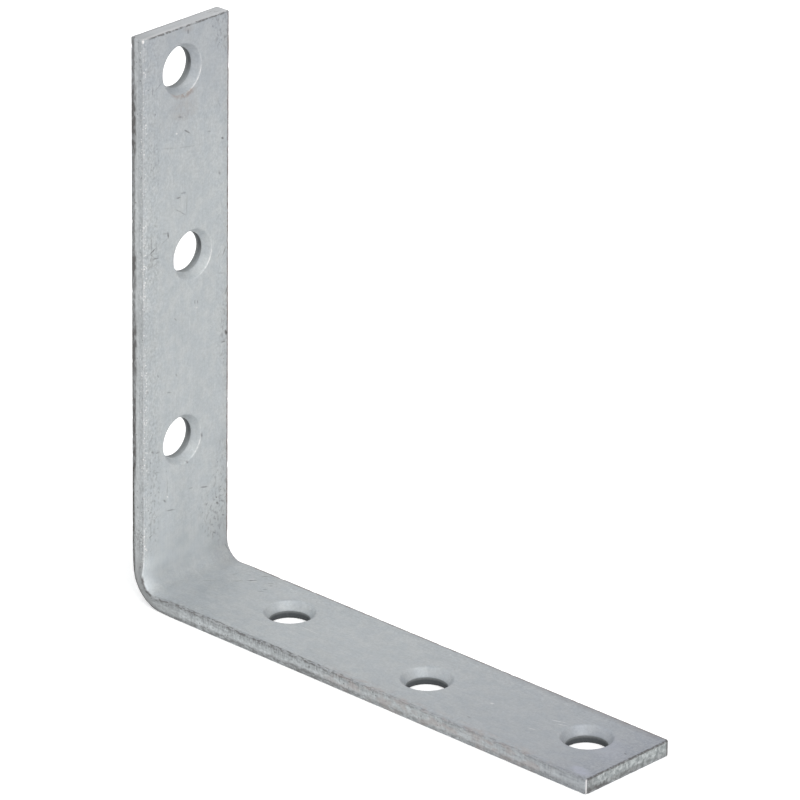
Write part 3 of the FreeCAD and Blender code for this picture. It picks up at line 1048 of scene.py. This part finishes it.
def sheen(coat, dirty):
    """Roughness of the coating: cloudy where clean, dull where cut and where dirt, painted shade or a
    bore's wall darkens it.
    """
    dull = coat.highest(dirty, coat.product(coat.highest(coat.on_side, coat.on_flat_end), 0.5))
    clean = coat.math("MULTIPLY_ADD", coat.math("SUBTRACT", coat.clouds, 0.5), 0.25, CLEAN_ROUGHNESS)
    return coat.mix(dull, clean, DULL_ROUGHNESS)


def fine_grain(coat):
    """Bumps of the coating's grain, stronger on the cut sides and the flat leg's end."""
    rough = coat.noise(coat.place, (0.30, 0.30, 0.30), 7.1)
    grain = coat.total(coat.product(coat.grain, 0.9), coat.product(rough, 0.5))
    cut = coat.product(coat.flecks, 2.5, coat.highest(coat.on_side, coat.on_flat_end))
    values = {"Strength": 1.0, "Distance": GRAIN_HEIGHT, "Height": coat.total(cut, grain)}
    return coat.add("ShaderNodeBump", values).outputs["Normal"]


def zinc():
    """Weathered hot-dip zinc: mottled grey, dirty cut edges, specks, scratches and a rust stain, with
    light, shade and highlights painted in round the bend, the holes and some edges and corners.
    """
    material = bpy.data.materials.new("weathered_zinc")
    material.use_nodes = True
    coat = Coating(material.node_tree)
    colour = worn_faces_and_painted_light(coat, mottled_faces(coat))
    colour = coat.blend(coat.on_side, colour, cut_sides(coat))
    colour = coat.blend(coat.on_top_end, colour, top_end(coat))
    colour = coat.blend(coat.on_flat_end, colour, flat_end(coat))
    colour = sink_shading_and_stains(coat, colour)
    colour = coat.blend(back_lines(coat), colour, EDGE_BROWN)
    # Dark: dirt, specks and marks, with painted shade in the turn of the inner front edge and round the
    # flat end's far corner
    dark = coat.highest(dark_specks(coat), inner_front_line(coat), outer_front_line(coat), end_lines(coat))
    colour = coat.blend(dark, colour, DIRT_AND_SHADE)
    colour = coat.blend(front_pits(coat), colour, DIRT_AND_SHADE)
    # Bare metal, with painted highlights on the upright's front rim, its lips and two corners
    colour = coat.blend(bare_metal_and_highlights(coat), colour, BARE_METAL_AND_HIGHLIGHT)
    in_bore = bore_share(coat)
    colour = coat.blend(in_bore, colour, bore_wall(coat))
    shader = material.node_tree.nodes["Principled BSDF"]
    shader.inputs["Metallic"].default_value = METALLIC
    coat.put(colour, shader.inputs["Base Color"])
    coat.put(sheen(coat, coat.highest(dark, in_bore)), shader.inputs["Roughness"])
    coat.put(fine_grain(coat), shader.inputs["Normal"])
    return material


# Camera, its angles in degrees
CAMERA_AZIMUTH = 42.96
CAMERA_ELEVATION = 23.71
CAMERA_ROLL = 0.77
CAMERA_DISTANCE = 1.7246
CAMERA_TARGET = Vector((0.000445, 0, 0.07452))
FOCAL_PIXELS = 7141
PICTURE_PIXELS = 800
SENSOR_WIDTH = 36


def direction(azimuth, elevation):
    """Unit vector towards a compass direction (0 is -Y, 90 is +X) and a height in degrees."""
    around, above = math.radians(azimuth), math.radians(elevation)
    level = math.cos(above)
    return Vector((math.sin(around) * level, -math.cos(around) * level, math.sin(above)))


def make_camera():
    """The camera at the photograph's viewing angle."""
    data = bpy.data.cameras.new("camera")
    data.sensor_width = SENSOR_WIDTH
    data.lens = FOCAL_PIXELS * SENSOR_WIDTH / PICTURE_PIXELS
    data.clip_start = 0.1
    data.clip_end = 100
    camera = add_object("camera", data)
    back = direction(CAMERA_AZIMUTH, CAMERA_ELEVATION)
    level_right = direction(CAMERA_AZIMUTH + 90, 0)
    level_up = back.cross(level_right)
    roll = math.radians(CAMERA_ROLL)
    right = math.cos(roll) * level_right + math.sin(roll) * level_up
    up = math.cos(roll) * level_up - math.sin(roll) * level_right
    turn = Matrix((right, up, back)).transposed().to_4x4()
    camera.matrix_world = Matrix.Translation(CAMERA_TARGET + back * CAMERA_DISTANCE) @ turn
    bpy.context.scene.camera = camera


# Studio: an even sky, brighter in front, one soft lamp, and a pale floor that holds a soft shadow
FLOOR_SIZE = 12.0
FLOOR_COLOUR = (0.78, 0.78, 0.78, 1)
FLOOR_GLOW = 0.3
WHITE = (1, 1, 1, 1)
SKY_BACK_LEVEL = 0.5
SKY_FRONT_LEVEL = 1.4
SKY_FRONT_EDGE = -0.2
SKY_FRONT_AZIMUTH = 40
SKY_FRONT_ELEVATION = 20
KEY_AZIMUTH = 70
KEY_ELEVATION = 35
KEY_STRENGTH = 1.0
KEY_SOFTNESS = 50


def seen_rays(nodes):
    """1 for rays that show a surface, seen or mirrored, and 0 for those that gather light."""
    path = nodes.add("ShaderNodeLightPath").outputs
    mirrored = nodes.math("MAXIMUM", path["Is Glossy Ray"], path["Is Transmission Ray"])
    return nodes.math("MAXIMUM", path["Is Camera Ray"], mirrored)


def make_floor():
    """A plain pale floor that keeps the brace's soft shadow and is white to the camera."""
    mesh = bpy.data.meshes.new("floor")
    half = FLOOR_SIZE / 2
    mesh.from_pydata(
        [(-half, -half, 0), (half, -half, 0), (half, half, 0), (-half, half, 0)], [], [(0, 1, 2, 3)])
    floor = add_object("floor", mesh)
    floor.location.z = cad_low.z
    material = bpy.data.materials.new("pale_floor")
    material.use_nodes = True
    nodes = Nodes(material.node_tree)
    shader = material.node_tree.nodes["Principled BSDF"]
    shader.inputs["Roughness"].default_value = 0.9
    shader.inputs["Specular IOR Level"].default_value = 0.0
    nodes.put(nodes.blend(seen_rays(nodes), FLOOR_COLOUR, WHITE), shader.inputs["Base Color"])
    to_camera = nodes.add("ShaderNodeLightPath").outputs["Is Camera Ray"]
    shader.inputs["Emission Color"].default_value = WHITE
    nodes.put(nodes.math("MULTIPLY", to_camera, FLOOR_GLOW), shader.inputs["Emission Strength"])
    mesh.materials.append(material)


def make_sky():
    """Even light from all round, brighter from the front, and white to the camera."""
    world = bpy.data.worlds.new("studio")
    bpy.context.scene.world = world
    world.use_nodes = True
    nodes = Nodes(world.node_tree)
    background = world.node_tree.nodes["Background"]
    background.inputs["Color"].default_value = WHITE
    place = nodes.add("ShaderNodeTexCoord").outputs["Generated"]
    toward = nodes.vector("DOT_PRODUCT", place, direction(SKY_FRONT_AZIMUTH, SKY_FRONT_ELEVATION))
    level = nodes.ease(toward, SKY_FRONT_EDGE, 1, SKY_BACK_LEVEL, SKY_FRONT_LEVEL)
    nodes.put(nodes.mix(seen_rays(nodes), level, 1.0), background.inputs["Strength"])


def make_key_lamp():
    """One wide soft lamp, far above and beside the camera."""
    data = bpy.data.lights.new("key", "SUN")
    data.energy = KEY_STRENGTH
    data.angle = math.radians(KEY_SOFTNESS)
    lamp = add_object("key", data)
    lamp.rotation_euler = direction(KEY_AZIMUTH, KEY_ELEVATION).to_track_quat("Z", "Y").to_euler()


body = make_body()
body.data.materials.append(zinc())
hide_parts("corner_brace")
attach(body, "root")

make_camera()
make_floor()
make_sky()
make_key_lamp()
bpy.context.scene.view_settings.view_transform = "Standard"
